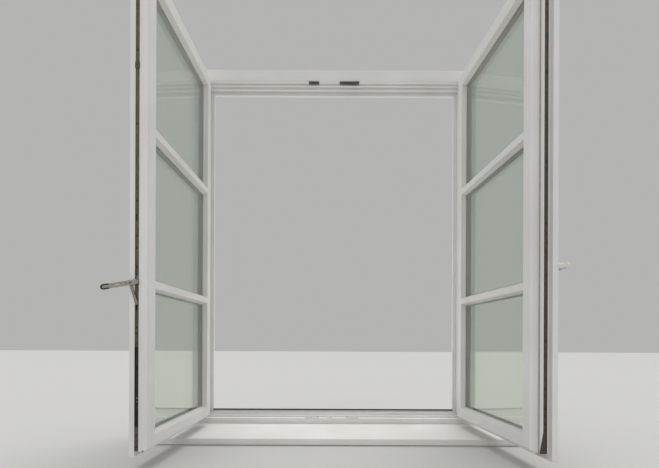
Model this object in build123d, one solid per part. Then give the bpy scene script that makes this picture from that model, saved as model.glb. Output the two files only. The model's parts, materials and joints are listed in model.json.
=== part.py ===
"""Two-leaf timber casement window with its frame: two side-hung leaves that open
inward, three panes each, shown standing open. Millimetres, Z up.

The origin is the middle of the frame's underside. X runs along the frame, Y runs
outward, the room is at negative Y. Everything is drawn with Y zero at the frame's
inner face and set back by half the frame's depth when it is saved. Each leaf is
drawn closed and then swung open about its hinge line.
"""
import os
from math import atan2, cos, degrees, radians, sin
from build123d import *

os.makedirs("parts", exist_ok=True)

# Frame: clear opening between the outer stops, and the stepped rebates round it
clear_width = 1065.0
clear_height = 1396.0
member_face = 78.0            # frame member, clear edge to outer edge
frame_depth = 68.0
rebate_1_depth = 22.0         # from the inner face, hardware rebate
rebate_2_depth = 36.0         # middle rebate
rebate_3_depth = 55.0         # outer rebate, ends at the stop
rebate_1_set = 30.5           # how far each rebate lies outside the clear edge
rebate_2_set = 23.5
rebate_3_set = 14.5
arris = 2.0                   # eased edge of the frame opening
fixing_hole = 8.5             # frame fixing screws through the jambs
fixing_end = 180.0            # first and last fixing from the ends of the jamb
fixing_y = 11.0

# Window board and weather rail
board_width = 1360.0
board_reach = 270.0           # from the frame to the front of the nosing
board_thick = 24.0
board_round = 3.0
rail_seat = 38.0              # Y where the weather rail starts
rail_wall = 2.5
rail_nose = 18.0              # reach in front of the outer face
rail_toe = 2.0                # foot past the timber's outer face
rail_ridge = 5.0              # slope's top over the timber
rail_fall = 9.0               # fall of the foot to the nose
rail_drip = 9.0               # drip under the nose
rail_cover = 3.0
rail_play = 0.3               # at each end of the rail
rail_seal_height = 5.5
rail_seal_lap = 1.5           # seal in front of the rail's upright
rail_seal_back = 1.0          # and behind it

# Leaves
leaf_thick = 68.0
lip_thick = 18.0              # lip that laps the frame's inner face
lip_cover = 6.0               # lap over the frame's inner corner
hardware_air = 12.0           # space for the hardware between leaf and frame
outer_lap = 10.0              # outer edge of the leaf over the clear edge
outer_zone = 14.0             # thickness of the stepped-in outer part
face_stile = 38.0             # outer face of the stiles
face_meet_passive = 46.0      # the passive leaf's meeting stile, with its tongue
face_bottom = 36.0
face_top = 47.0
bevel = 6.0                   # slope from the face down to the glass line
bevel_bottom = 8.0
bar_width = 32.0              # glazing bar at the glass line
bevel_bar = 5.0
glass_set = 18.0              # glass behind the outer face
pane_thick = 4.0
pane_gap = 16.0
spacer_width = 9.0            # spacer and sealant round the panes' edges
pocket = 10.0                 # glazing rebate outside the glass line
glass_play = 2.5
bead_set = 3.0                # beads behind the inner face
bead_show = 2.0               # beads past the glass line
bead_bevel = 6.0
round_outer = 4.0             # rounded outer arrises of a leaf
round_inner = 2.5
groove_width = 12.0           # hardware groove in the leaf's edge
groove_depth = 8.0
groove_axis = 27.0            # from the leaf's inner face
seal_width = 3.0
seal_root = 2.0
seal_stand = 3.0
seal_place = 45.0             # from the leaf's inner face

# Meeting edges, X of each zone with the leaves closed
passive_lip = -20.0
passive_edge = -12.0
passive_tongue = 5.0
passive_step = 50.0           # thickness at which the tongue starts
active_lip = 18.0             # the active leaf is drawn mirrored, so these
active_edge = 0.0             # are measured the other way from the middle
active_tongue = -9.0
active_step = 48.0

# Hinges
hinge_out = 7.5               # axis outside the lip's edge
hinge_front = 9.0             # axis in front of the frame's inner face
knuckle_dia = 14.0
knuckle_length = 42.0
knuckle_gap = 0.6             # between the two halves
pin_dia = 8.0
pin_play = 0.05               # radial
knuckle_wall = 6.0            # closed end of the leaf's knuckle
pin_short = 8.0               # pin ends this far below the knuckle's top
shank_dia = 7.0
shank_length = 34.0
shank_pitch = 22.0
hinge_end = 230.0             # hinge middle from the leaf's ends

# Opening angles of the pose shown, degrees from closed
open_passive = 91.7
open_active = 94.5

# Espagnolette gear in the meeting edges
plate_thick = 2.0
plate_sunk = 0.5
plate_play = 0.2
corner_leg = 150.0            # gear plate round the corner, along the rail
corner_rise = 130.0           # top of the passive leaf's lower corner plate
rod_width = 10.0
rod_thick = 2.5
rod_gap = 0.4                 # behind the plate
rod_end = 40.0                # rods end this far from the leaf's corners
throw = 18.0                  # travel of rods and cams
cam_dia = 8.0
cam_stand = 7.8
roller_pin = 5.0              # pin that the active leaf's rollers turn on
roller_head = 1.0
roller_end_play = 0.2
cam_carriage = 56.0
slot_play = 0.6
slot_rise = 2.0               # cam slots are cut this far past the plate
passive_cam = 80.0            # cam from the middle of the window, unlocked
active_cam = 66.0
plate_foot_passive = 363.0    # lower end of the passive leaf's long plate
plate_foot_active = 122.0
plate_joint = 1.0             # gap where two plates meet
wing_play = 0.5
wing_slope = 8.0              # room for the wing's tip, for each mm of play
wing_lap = 0.5                # wing into the plate
passive_slots = (737.0, 565.0)    # dark slots in the passive leaf's plate
passive_slot_width = 6.0
passive_slot_height = 18.0

# Rebate lever on the passive leaf
lever_z = 551.0
lever_width = 14.0
lever_thick = 2.6
lever_droop = 9.0             # degrees below level
lever_pin = 6.0
lever_head = 9.5              # rivet head over the pivot
head_rise = 1.2
cap_start = 81.0              # moulded cap, from the pivot
cap_end = 105.5
cap_width = 16.0
cap_rise = 0.8                # over the lever's face
tongue_width = 8.0            # metal tongue inside the cap
tongue_end = 101.0
lever_slot = 12.0
lever_slot_width = 2.6
lever_slot_reach = 49.0       # near end of the slot from the pivot
link_reach = 18.0             # link pin from the lever's pivot
slider_drop = 62.0            # foot of the link below the lever's pivot
link_width = 9.0
link_thick = 2.4
link_gap = 0.4                # between plate edge, link and lever
link_pin = 4.0
slot_side = 0.6

# Turn handle on the active leaf
handle_z = 606.0
handle_set = 20.0             # spindle from the hardware edge
rose_width = 30.0
rose_height = 66.0
rose_thick = 9.0
rose_corner = 8.0
rose_ease = 1.5
neck_dia = 16.0
neck_length = 36.0
grip_length = 118.0
grip_width = 20.0
grip_thick = 12.0
grip_ease = 2.5
spindle = 7.0
hub_dia = 14.0
case_width = 10.0
case_depth = 30.0
case_height = 104.0
case_play = 0.5
spindle_bore = 13.0
hub_stand = 0.3               # hub past each side of the case
turn_play = 0.05

# Keeps on the head and the sill
keep_base = 2.0
keep_hook = 8.0
keep_front = 1.0
keep_depth = 20.0
hook_play = 0.5               # between the hook and the cam
hook_lead = 10.0              # hook starts this far past the unlocked cam
hook_end = 2.0                # and ends this far before the end of the base
screw_dia = 4.0
screw_head = 7.0
screw_rise = 1.6
screw_reach = 16.0
screw_inset = 5.5
run_up_width = 24.0
run_up_height = 5.0
run_up_x = -10.0
run_up_ease = 2.0
keep_reach = {                # base before and after the unlocked cam
    "head_keep_left": (14.0, 30.0), "head_keep_right": (42.0, 42.0),
    "sill_keep_left": (18.0, 40.0), "sill_keep_right": (10.0, 46.0)}

# Derived sizes
half = clear_width / 2
z_clear = member_face
z_head = z_clear + clear_height
frame_height = z_head + member_face
frame_half = half + member_face
leaf_inner = -lip_thick                          # Y of the leaf's inner face, closed
leaf_outer = leaf_thick - lip_thick
glass_y = leaf_outer - glass_set
lip_set = rebate_1_set + lip_cover
edge_set = rebate_1_set - hardware_air
axis_x = half + lip_set + hinge_out
axis_y = -hinge_front
unit_thick = 2 * pane_thick + pane_gap
groove_y = leaf_inner + groove_axis
hook_thick = groove_y - cam_dia / 2 - hook_play - keep_front
big = 4000.0


def block(x0, x1, y0, y1, z0, z1):
    """Box between two corners."""
    return Pos((x0 + x1) / 2, (y0 + y1) / 2, (z0 + z1) / 2) * Box(
        abs(x1 - x0), abs(y1 - y0), abs(z1 - z0))


def ring(x0, x1, z0, z1, y0, y1, inside, outside=0.0):
    """Rectangular ring in the XZ plane, grown outward and hollowed inward."""
    outer = block(x0 - outside, x1 + outside, y0, y1, z0 - outside, z1 + outside)
    return outer - block(x0 + inside, x1 - inside, y0 - 1, y1 + 1, z0 + inside, z1 - inside)


def flare(x0, x1, z0, z1, y0, y1, left, right, bottom, top):
    """Opening that is x0..x1 by z0..z1 at y0 and wider by the four offsets at y1."""
    def face(y, a, b, c, d):
        return Face(Wire.make_polygon(
            [(a, y, c), (b, y, c), (b, y, d), (a, y, d)], close=True))
    return loft([face(y0, x0, x1, z0, z1),
                 face(y1, x0 - left, x1 + right, z0 - bottom, z1 + top)])


def rod_y(x, z, y0, y1, dia):
    """Round bar along Y."""
    return Pos(x, (y0 + y1) / 2, z) * Rot(90, 0, 0) * Cylinder(dia / 2, abs(y1 - y0))


def rod_x(y, z, x0, x1, dia):
    """Round bar along X."""
    return Pos((x0 + x1) / 2, y, z) * Rot(0, 90, 0) * Cylinder(dia / 2, abs(x1 - x0))


def rod_z(x, y, z0, z1, dia):
    """Round bar along Z."""
    return Pos(x, y, (z0 + z1) / 2) * Cylinder(dia / 2, abs(z1 - z0))


def solids(*shapes):
    """Group of solids for one node."""
    out = []
    for shape in shapes:
        out += list(shape.solids())
    return out[0] if len(out) == 1 else Compound(children=out)


def save(name, shape):
    shape = solids(Pos(0, -frame_depth / 2, 0) * shape)
    shape.label = name
    export_step(shape, f"parts/{name}.step")


# Depth and set-back of each rebate of the frame, from the room outward
steps = [(-1, rebate_1_depth, rebate_1_set), (rebate_1_depth, rebate_2_depth, rebate_2_set),
         (rebate_2_depth, rebate_3_depth, rebate_3_set), (rebate_3_depth, frame_depth + 1, 0)]


def recess(step, low, high):
    y0, y1, out = step
    return block(-half - out, half + out, y0, y1, low - out, high + out)


opening = recess(steps[0], z_clear, z_head)
for step in steps[1:]:
    opening += recess(step, z_clear, z_head)
inner_half = half + rebate_1_set
opening += flare(-inner_half, inner_half, z_clear - rebate_1_set, z_head + rebate_1_set,
                 arris, 0, arris, arris, arris, arris)
# at the sill the outer stop is the weather rail, so the timber stays low there
sill_top = z_clear - rebate_3_set
opening += block(-half, half, rebate_2_depth, frame_depth + 1, sill_top, z_clear + 1)

hinge_zs = (z_clear - edge_set + hinge_end, z_head + edge_set - hinge_end)


def hinge_shanks(z_mid, low):
    """Heights of the two shanks of one half of a hinge."""
    middle = z_mid + (-1 if low else 1) * (knuckle_length + knuckle_gap) / 2
    return middle - shank_pitch / 2, middle + shank_pitch / 2


# Jambs run the full height; the head and the sill are scribed over their rebates
jambs = block(-frame_half, frame_half, 0, frame_depth, 0, frame_height)
for step in steps:
    jambs -= recess(step, -big, big)
jambs -= opening
outline = block(-frame_half, frame_half, 0, frame_depth, 0, frame_height) - opening
head = (outline - jambs) & block(-big, big, -1, big, frame_height / 2, big)
sill = (outline - jambs) & block(-big, big, -1, big, -1, frame_height / 2)
for side, name in ((-1, "left"), (1, "right")):
    jamb = jambs & block(*sorted((0, side * big)), -1, big, -1, big)
    for z_mid in hinge_zs:
        for z in hinge_shanks(z_mid, True):
            jamb -= rod_y(side * axis_x, z, -1, shank_length - hinge_front, shank_dia)
    for z in (fixing_end, frame_height / 2, frame_height - fixing_end):
        jamb -= rod_x(fixing_y, z, side * half, side * (frame_half + 1), fixing_hole)
    save(f"frame_jamb_{name}", jamb)

# Window board, rounded at the nosing
board = block(-board_width / 2, board_width / 2, -board_reach, 0, 0, board_thick)
front = board.edges().filter_by(Axis.X).sort_by(Axis.Y)[:2]
board = fillet(front, board_round)
save("window_board", board)

# Weather rail: foot on the sill, upright behind the stop line, sloped nose with a drip
seal_foot = z_clear - rail_seal_height
stop_y = rebate_3_depth
nose_y = frame_depth + rail_nose
rail_profile = [
    (rail_seat, sill_top), (stop_y + rail_wall, sill_top),
    (frame_depth + rail_toe, sill_top - rail_fall / 3),
    (nose_y - rail_wall, sill_top - rail_fall),
    (nose_y - rail_wall, sill_top - rail_fall - rail_drip),
    (nose_y, sill_top - rail_fall - rail_drip),
    (nose_y, sill_top - rail_fall + rail_cover), (stop_y + rail_wall, sill_top + rail_ridge),
    (stop_y + rail_wall, seal_foot), (stop_y, seal_foot),
    (stop_y, sill_top + rail_wall), (rail_seat, sill_top + rail_wall)]
rail_section = Face(Wire.make_polygon(
    [(-half + rail_play, y, z) for y, z in rail_profile], close=True))
rail = extrude(rail_section, clear_width - 2 * rail_play, dir=(1, 0, 0))
# the sloped part needs the timber's outer edge lowered under it
sill -= block(-half, half, stop_y + rail_wall, frame_depth + 1, sill_top - rail_fall,
              sill_top + 1)
save("weather_rail", rail)
rail_seal = block(-half + rail_play, half - rail_play, stop_y - rail_seal_lap,
                  stop_y + rail_wall + rail_seal_back, seal_foot, z_clear)
save("weather_rail_seal", rail_seal)


# One leaf, drawn closed with its hinge line at the left; the active one is mirrored
def zone(y0, y1, out, meet):
    return block(-half - out, meet, y0, y1, z_clear - out, z_head + out)


def leaf_envelope(lip, edge, tongue, step):
    """Outline of a leaf with its stepped edges."""
    a = zone(leaf_inner, 0, lip_set, lip)
    a = fillet(a.faces().sort_by(Axis.Y)[0].edges(), round_inner)
    outer_y = leaf_outer - outer_zone
    b = zone(0, outer_y, edge_set, edge)
    d = zone(outer_y, leaf_outer, outer_lap, tongue)
    d = fillet(d.faces().sort_by(Axis.Y)[-1].edges(), round_outer)
    body = a + b + d
    step_y = leaf_inner + step
    if tongue > edge:
        body += block(edge - 1, tongue, step_y, outer_y + 0.5, z_clear - outer_lap,
                      z_head + outer_lap)
    else:
        body -= block(tongue, edge + 1, step_y, leaf_outer + 1, 0, frame_height)
    return body


def build_leaf(lip, edge, tongue, step, face_meet):
    """Timber, glass, beads and seal of one leaf, as a dictionary of shapes."""
    body = leaf_envelope(lip, edge, tongue, step)
    x0 = -half - outer_lap + face_stile + bevel          # glass line, hinge side
    x1 = tongue - face_meet - bevel                      # glass line, meeting side
    z0 = z_clear - outer_lap + face_bottom + bevel_bottom
    z1 = z_head + outer_lap - face_top - bevel
    light = (z1 - z0 - 2 * bar_width) / 3
    lows = [z0 + i * (light + bar_width) for i in range(3)]
    parts = {}
    glass, beads = [], []
    for i, low in enumerate(lows):
        high = low + light
        under = bevel_bottom if i == 0 else bevel_bar
        over = bevel if i == 2 else bevel_bar
        body -= flare(x0, x1, low, high, glass_y - 0.001, leaf_outer + 0.001,
                      bevel, bevel, under, over)
        body -= block(x0 - pocket, x1 + pocket, leaf_inner - 1, glass_y,
                      low - pocket, high + pocket)
        g = pocket - glass_play
        back = glass_y - unit_thick
        pane = block(x0 - g, x1 + g, 0, pane_thick, low - g, high + g)
        space = ring(x0 - g, x1 + g, low - g, high + g, back + pane_thick,
                     glass_y - pane_thick, spacer_width)
        glass.append((Pos(0, glass_y - pane_thick, 0) * pane,
                      Pos(0, back, 0) * pane, space))
        b0 = leaf_inner + bead_set
        s = bead_show
        frame_bead = block(x0 - pocket, x1 + pocket, b0, back, low - pocket, high + pocket)
        frame_bead -= flare(x0 + s, x1 - s, low + s, high - s, back + 0.001, b0 - 0.001,
                            bead_bevel, bead_bevel, bead_bevel, bead_bevel)
        left = frame_bead & block(x0 - pocket, x0 + s, b0, back, 0, big)
        right = frame_bead & block(x1 - s, x1 + pocket, b0, back, 0, big)
        mid = frame_bead & block(x0 + s, x1 - s, b0, back, 0, big)
        beads += [left, right, mid]
    # hardware groove and seal groove run all the way round
    ex0, ex1 = -half - edge_set, edge
    ez0, ez1 = z_clear - edge_set, z_head + edge_set
    body -= ring(ex0, ex1, ez0, ez1, groove_y - groove_width / 2,
                 groove_y + groove_width / 2, groove_depth, 30)
    y_seal = leaf_inner + seal_place
    seal = ring(ex0 - seal_stand, ex1 + seal_stand, ez0 - seal_stand, ez1 + seal_stand,
                y_seal, y_seal + seal_width, seal_stand + seal_root)
    body -= seal
    parts["seal"] = seal
    parts["hinge_stile"] = body & block(-big, x0, -big, big, -10, big)
    parts["meeting_stile"] = body & block(x1, big, -big, big, -10, big)
    middle = body & block(x0, x1, -big, big, -10, big)
    parts["bottom_rail"] = middle & block(-big, big, -big, big, -10, z0)
    parts["top_rail"] = middle & block(-big, big, -big, big, z1, big)
    parts["lower_bar"] = middle & block(-big, big, -big, big, lows[0] + light, lows[1])
    parts["upper_bar"] = middle & block(-big, big, -big, big, lows[1] + light, lows[2])
    for name, group in zip(("bottom", "middle", "top"), glass):
        parts[f"glass_{name}"] = solids(*group)
    parts["beads"] = solids(*beads)
    return parts


def leaf_hinge(z_mid):
    """Leaf half of one hinge: bored knuckle with two shanks into the lip."""
    low = z_mid + knuckle_gap / 2
    body = rod_z(-axis_x, axis_y, low, low + knuckle_length, knuckle_dia)
    for z in hinge_shanks(z_mid, False):
        body += rod_x(axis_y, z, -axis_x, -axis_x + shank_length, shank_dia)
    bore = rod_z(-axis_x, axis_y, low - 1, low + knuckle_length - knuckle_wall,
                 pin_dia + 2 * pin_play)
    return body - bore


def frame_hinge(z_mid):
    """Frame half of one hinge: knuckle with its pin and two shanks into the jamb."""
    high = z_mid - knuckle_gap / 2
    body = rod_z(-axis_x, axis_y, high - knuckle_length, high, knuckle_dia)
    body += rod_z(-axis_x, axis_y, high - 1, high + knuckle_length - pin_short, pin_dia)
    for z in hinge_shanks(z_mid, True):
        body += rod_y(-axis_x, z, axis_y, shank_length - hinge_front, shank_dia)
    return body


def swing(shape, angle):
    """Open a leaf piece about its hinge line, as drawn at the left."""
    return shape.rotate(Axis((-axis_x, axis_y, 0), (0, 0, 1)), -angle)


def gear(edge, foot, cam_x, corner_foot):
    """Cover plates of the gear: up the stile, round both corners, with cam slots.
    Returns the shape; edges are given as drawn at the left."""
    y0 = groove_y - groove_width / 2 + plate_play
    y1 = groove_y + groove_width / 2 - plate_play
    front = edge - plate_sunk
    top = z_head + edge_set - plate_sunk
    low = z_clear - edge_set + plate_sunk
    upright = block(front - plate_thick, front, y0, y1, foot, top)
    upright += block(front - corner_leg, front, y0, y1, top - plate_thick, top)
    corner = block(front - plate_thick, front, y0, y1, low, corner_foot)
    corner += block(front - corner_leg, front, y0, y1, low, low + plate_thick)
    reach = cam_dia / 2 + slot_play
    for z in (top, low):
        z0, z1 = z - plate_thick - slot_rise, z + plate_thick + slot_rise
        cut = block(-cam_x - throw, -cam_x, groove_y - reach, groove_y + reach, z0, z1)
        for x in (-cam_x, -cam_x - throw):
            cut += rod_z(x, groove_y, z0, z1, 2 * reach)
        upright -= cut
        corner -= cut
    return upright, corner


def rod(edge, z0, z1):
    """Flat drive rod behind the cover plate."""
    x1 = edge - plate_sunk - plate_thick - rod_gap
    return block(x1 - rod_thick, x1, groove_y - rod_width / 2, groove_y + rod_width / 2, z0, z1)


def cam(cam_x, upper, pin, head=0.0):
    """Cam carriage: flat slide under the corner plate with a stud standing out, which
    has a head of the cam's size where it carries a roller."""
    way = 1 if upper else -1
    edge_z = z_head + edge_set if upper else z_clear - edge_set
    seat = edge_z - way * (plate_sunk + plate_thick + rod_gap)
    slide = block(-cam_x - cam_carriage / 2, -cam_x + cam_carriage / 2,
                  groove_y - rod_width / 2, groove_y + rod_width / 2,
                  seat, seat - way * rod_thick)
    tip = edge_z + way * cam_stand
    slide += rod_z(-cam_x, groove_y, seat - way, tip, pin)
    if head:
        slide += rod_z(-cam_x, groove_y, tip - way * head, tip, cam_dia)
    return slide


def roller(cam_x, upper):
    """Roller round a cam's stud, between the plate and the stud's head."""
    way = 1 if upper else -1
    edge_z = z_head + edge_set if upper else z_clear - edge_set
    end = edge_z + way * (cam_stand - roller_head - roller_end_play)
    return (rod_z(-cam_x, groove_y, edge_z, end, cam_dia)
            - rod_z(-cam_x, groove_y, edge_z - way, end + way, roller_pin + 2 * turn_play))


def keep(side, cam_x, upper, before, after):
    """Keep for a cam: a base plate with a hook that the cam slides behind. The base
    runs from before the unlocked cam to after it, away from the window's middle."""
    way = -1 if upper else 1
    face_z = z_head + rebate_1_set if upper else z_clear - rebate_1_set
    x0, x1 = side * (cam_x - before), side * (cam_x + after)
    h0, h1 = side * (cam_x + hook_lead), x1 - side * hook_end
    body = block(x0, x1, keep_front, keep_front + keep_depth, face_z, face_z + way * keep_base)
    body += block(h0, h1, keep_front, keep_front + hook_thick, face_z, face_z + way * keep_hook)
    y = keep_front + keep_depth - screw_inset
    screws = []
    for x in (x0 + side * screw_inset, x1 - side * screw_inset):
        top = face_z + way * keep_base
        screws.append(rod_z(x, y, top, face_z - way * screw_reach, screw_dia)
                      + rod_z(x, y, top, top + way * screw_rise, screw_head))
        body -= rod_z(x, y, face_z - keep_hook, face_z + keep_hook, screw_dia)
    return body, screws


# Keeps: the left pair takes the passive leaf's cams, the right pair the active leaf's
all_screws = []
for name, reach in keep_reach.items():
    left_pair = name.endswith("left")
    body, screws = keep(-1 if left_pair else 1, passive_cam if left_pair else active_cam,
                        name.startswith("head"), *reach)
    save(name, body)
    all_screws += screws
    for screw in screws:
        if name.startswith("head"):
            head -= screw
        else:
            sill -= screw
# run-up block in the middle of the sill
block_z = z_clear - rebate_1_set
block_y = keep_front + keep_depth / 2
run_up = block(run_up_x - run_up_width / 2, run_up_x + run_up_width / 2,
               keep_front + run_up_ease, keep_front + keep_depth - run_up_ease,
               block_z, block_z + run_up_height)
run_up = chamfer(run_up.edges().filter_by(Axis.X).sort_by(Axis.Z)[-2:], run_up_ease)
centre_screw = rod_z(run_up_x, block_y, block_z - screw_reach, block_z + run_up_height, screw_dia)
run_up -= centre_screw
sill -= centre_screw
all_screws.append(centre_screw)
save("run_up_block", run_up)
save("keep_screws", solids(*all_screws))
save("frame_head", head)
save("frame_sill", sill)

# Frame halves of the hinges
for side, side_name in ((-1, "left"), (1, "right")):
    for z_mid, level in zip(hinge_zs, ("lower", "upper")):
        half_hinge = frame_hinge(z_mid)
        if side > 0:
            half_hinge = mirror(half_hinge, about=Plane.YZ)
        save(f"{side_name}_{level}_frame_hinge", half_hinge)


def finish_leaf(prefix, parts, angle, mirrored):
    for name, shape in parts.items():
        shape = swing(shape, angle)
        if mirrored:
            shape = mirror(shape, about=Plane.YZ)
        save(f"{prefix}_{name}", shape)


# Passive leaf, at the left
left = build_leaf(passive_lip, passive_edge, passive_tongue, passive_step,
                  face_meet_passive)
for z_mid, level in zip(hinge_zs, ("lower", "upper")):
    left[f"{level}_leaf_hinge"] = leaf_hinge(z_mid)
    for z in hinge_shanks(z_mid, False):
        left["hinge_stile"] -= rod_x(axis_y, z, -axis_x, -axis_x + shank_length, shank_dia)
plate, corner = gear(passive_edge, plate_foot_passive, passive_cam, corner_rise)
plate_front = passive_edge - plate_sunk
plate_rear = plate_front - plate_thick
for z in passive_slots:
    plate -= block(plate_rear - 1, plate_front + 1, groove_y - passive_slot_width / 2,
                   groove_y + passive_slot_width / 2, z - passive_slot_height / 2,
                   z + passive_slot_height / 2)
top_z = z_head + edge_set
low_z = z_clear - edge_set
left["upper_rod"] = rod(passive_edge, lever_z + rod_end, top_z - rod_end)
left["lower_rod"] = rod(passive_edge, low_z + rod_end, lever_z - rod_end)
left["upper_cam"] = cam(passive_cam, True, cam_dia)
left["lower_cam"] = cam(passive_cam, False, cam_dia)

# Rebate lever: a bar swung out of the groove towards the room, over the link that
# works the drive rods
link_x0 = passive_edge + link_gap
link_x1 = link_x0 + link_thick
lever_x0 = link_x1 + link_gap
lever_x1 = lever_x0 + lever_thick
foot_z = lever_z - slider_drop


def along_lever(shape):
    """Turn and move what is drawn level, towards the room from the pivot."""
    return Pos(0, groove_y, lever_z) * Rot(lever_droop, 0, 0) * shape


def flat_bar(start, end, width, x0, x1):
    """Flat bar with round ends between two points given as (y, z)."""
    (ya, za), (yb, zb) = start, end
    turn = Pos((x0 + x1) / 2, (ya + yb) / 2, (za + zb) / 2)
    turn = turn * Rot(degrees(atan2(zb - za, yb - ya)), 0, 0)
    shape = turn * Box(x1 - x0, ((yb - ya) ** 2 + (zb - za) ** 2) ** 0.5, width)
    for y, z in (start, end):
        shape += rod_x(y, z, x0, x1, width)
    return shape


def tongue(width, end, x0, x1):
    """Tongue of the lever inside its cap, from the cap's start, with a round end."""
    centre = end - width / 2
    return (block(x0, x1, -centre, -cap_start, -width / 2, width / 2)
            + rod_x(-centre, 0, x0, x1, width))


lever = flat_bar((-cap_start + lever_width / 2, 0), (0, 0), lever_width, lever_x0, lever_x1)
lever += block(lever_x0, lever_x1, -cap_start, -cap_start + lever_width, -lever_width / 2,
               lever_width / 2)
lever += tongue(tongue_width, tongue_end, lever_x0, lever_x1)
lever -= flat_bar((-lever_slot_reach - lever_slot, 0), (-lever_slot_reach, 0),
                  lever_slot_width, lever_x0 - 1, lever_x1 + 1)
lever -= rod_x(-link_reach, 0, lever_x0 - 1, lever_x1 + 1, link_pin + 2 * turn_play)
lever += rod_x(0, 0, lever_x1, lever_x1 + head_rise, lever_head)
lever += rod_x(0, 0, plate_rear, lever_x0 + 1, lever_pin)
left["rebate_lever"] = along_lever(lever)
cap = tongue(cap_width, cap_end, lever_x0, lever_x1 + cap_rise)
cap -= tongue(tongue_width, tongue_end, lever_x0 - 1, lever_x1 + 2)
left["lever_cap"] = along_lever(cap)

pin_y = groove_y - link_reach * cos(radians(lever_droop))
pin_z = lever_z - link_reach * sin(radians(lever_droop))
link = flat_bar((pin_y, pin_z), (groove_y, foot_z), link_width, link_x0, link_x1)
link += rod_x(pin_y, pin_z, link_x0, lever_x1, link_pin)
# the foot's rivet stands over a slot in the plate, with the slider moving behind it
link += rod_x(groove_y, foot_z, plate_front + slot_side / 2, link_x0 + 1, link_pin)
left["lever_link"] = link
plate -= rod_x(groove_y, lever_z, plate_rear - 1, plate_front + 1, lever_pin + 2 * turn_play)
slot_reach = link_pin / 2 + slot_side
plate -= flat_bar((groove_y, foot_z), (groove_y, foot_z - throw), 2 * slot_reach,
                  plate_rear - 1, plate_front + 1)
left["gear"] = solids(plate, corner)
finish_leaf("left", left, open_passive, False)

# Active leaf, at the right, drawn mirrored
right = build_leaf(active_lip, active_edge, active_tongue, active_step, face_stile)
for z_mid, level in zip(hinge_zs, ("lower", "upper")):
    right[f"{level}_leaf_hinge"] = leaf_hinge(z_mid)
    for z in hinge_shanks(z_mid, False):
        right["hinge_stile"] -= rod_x(axis_y, z, -axis_x, -axis_x + shank_length, shank_dia)
plate, corner = gear(active_edge, plate_foot_active + plate_joint, active_cam,
                     plate_foot_active)
# the lower corner cover widens outward towards its foot, up to the seal
plate_back = active_edge - plate_sunk - plate_thick
wing_y0 = groove_y + groove_width / 2 - plate_play - wing_lap
wing_y1 = leaf_inner + seal_place - wing_play


def wing(grow, thick):
    """Triangular wing of the corner cover, or the room cut for it."""
    foot = low_z - grow
    face = Face(Wire.make_polygon([(plate_back, wing_y0, plate_foot_active + wing_slope * grow),
                                   (plate_back, wing_y1 + grow, foot),
                                   (plate_back, wing_y0, foot)], close=True))
    return extrude(face, thick, dir=(1, 0, 0))


right["meeting_stile"] -= wing(wing_play, plate_thick + 2)
corner += wing(0, plate_thick) & block(-big, big, -big, big, low_z + plate_sunk, big)
case_x1 = plate_back
case = block(case_x1 - case_depth, case_x1, groove_y - case_width / 2, groove_y + case_width / 2,
             handle_z - case_height / 2, handle_z + case_height / 2)
hub_x = active_edge - handle_set
case -= rod_y(hub_x, handle_z, groove_y - case_width, groove_y + case_width,
              hub_dia + 2 * turn_play)
plate += case
right["meeting_stile"] -= block(case_x1 - case_depth - case_play, case_x1 + 1,
                                groove_y - groove_width / 2, groove_y + groove_width / 2,
                                handle_z - case_height / 2 - 2 * case_play,
                                handle_z + case_height / 2 + 2 * case_play)
right["meeting_stile"] -= rod_y(hub_x, handle_z, leaf_inner - 1, groove_y, spindle_bore)
right["gear"] = solids(plate, corner)
rod_top = handle_z + case_height / 2 + rod_gap
rod_low = handle_z - case_height / 2 - rod_gap
right["upper_rod"] = rod(active_edge, rod_top, top_z - rod_end)
right["lower_rod"] = rod(active_edge, low_z + rod_end, rod_low)
for upper, level in ((True, "upper"), (False, "lower")):
    right[f"{level}_cam"] = cam(active_cam, upper, roller_pin, roller_head)
    right[f"{level}_roller"] = roller(active_cam, upper)

# Handle: rose on the inner face, neck, grip pointing to the hinge side, spindle and hub
rose = block(hub_x - rose_width / 2, hub_x + rose_width / 2, leaf_inner - rose_thick,
             leaf_inner, handle_z - rose_height / 2, handle_z + rose_height / 2)
rose = fillet(rose.edges().filter_by(Axis.Y), rose_corner)
rose = chamfer(rose.faces().sort_by(Axis.Y)[0].edges(), rose_ease)
rose -= rod_y(hub_x, handle_z, leaf_inner - 2 * rose_thick, leaf_inner + 1,
              neck_dia + 2 * turn_play)
right["handle_rose"] = rose
neck_end = leaf_inner - rose_thick - neck_length
grip = block(hub_x - grip_length, hub_x, neck_end - grip_thick, neck_end,
             handle_z - grip_width / 2, handle_z + grip_width / 2)
for x in (hub_x, hub_x - grip_length):
    grip += rod_y(x, handle_z, neck_end - grip_thick, neck_end, grip_width)
grip = chamfer(grip.faces().sort_by(Axis.Y)[0].edges(), grip_ease)
neck_foot = leaf_inner - case_play
handle = grip + rod_y(hub_x, handle_z, neck_end, neck_foot, neck_dia)
handle += block(hub_x - spindle / 2, hub_x + spindle / 2, neck_foot - 1, groove_y,
                handle_z - spindle / 2, handle_z + spindle / 2)
handle += rod_y(hub_x, handle_z, groove_y - case_width / 2 - hub_stand,
                groove_y + case_width / 2 + hub_stand, hub_dia)
right["handle"] = handle
finish_leaf("right", right, open_active, True)
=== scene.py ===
"""Looks of a two-leaf timber casement window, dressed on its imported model."""
import json
import logging
import math
from dataclasses import dataclass
from enum import Enum
from typing import Iterable, Optional, Sequence, Union

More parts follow.
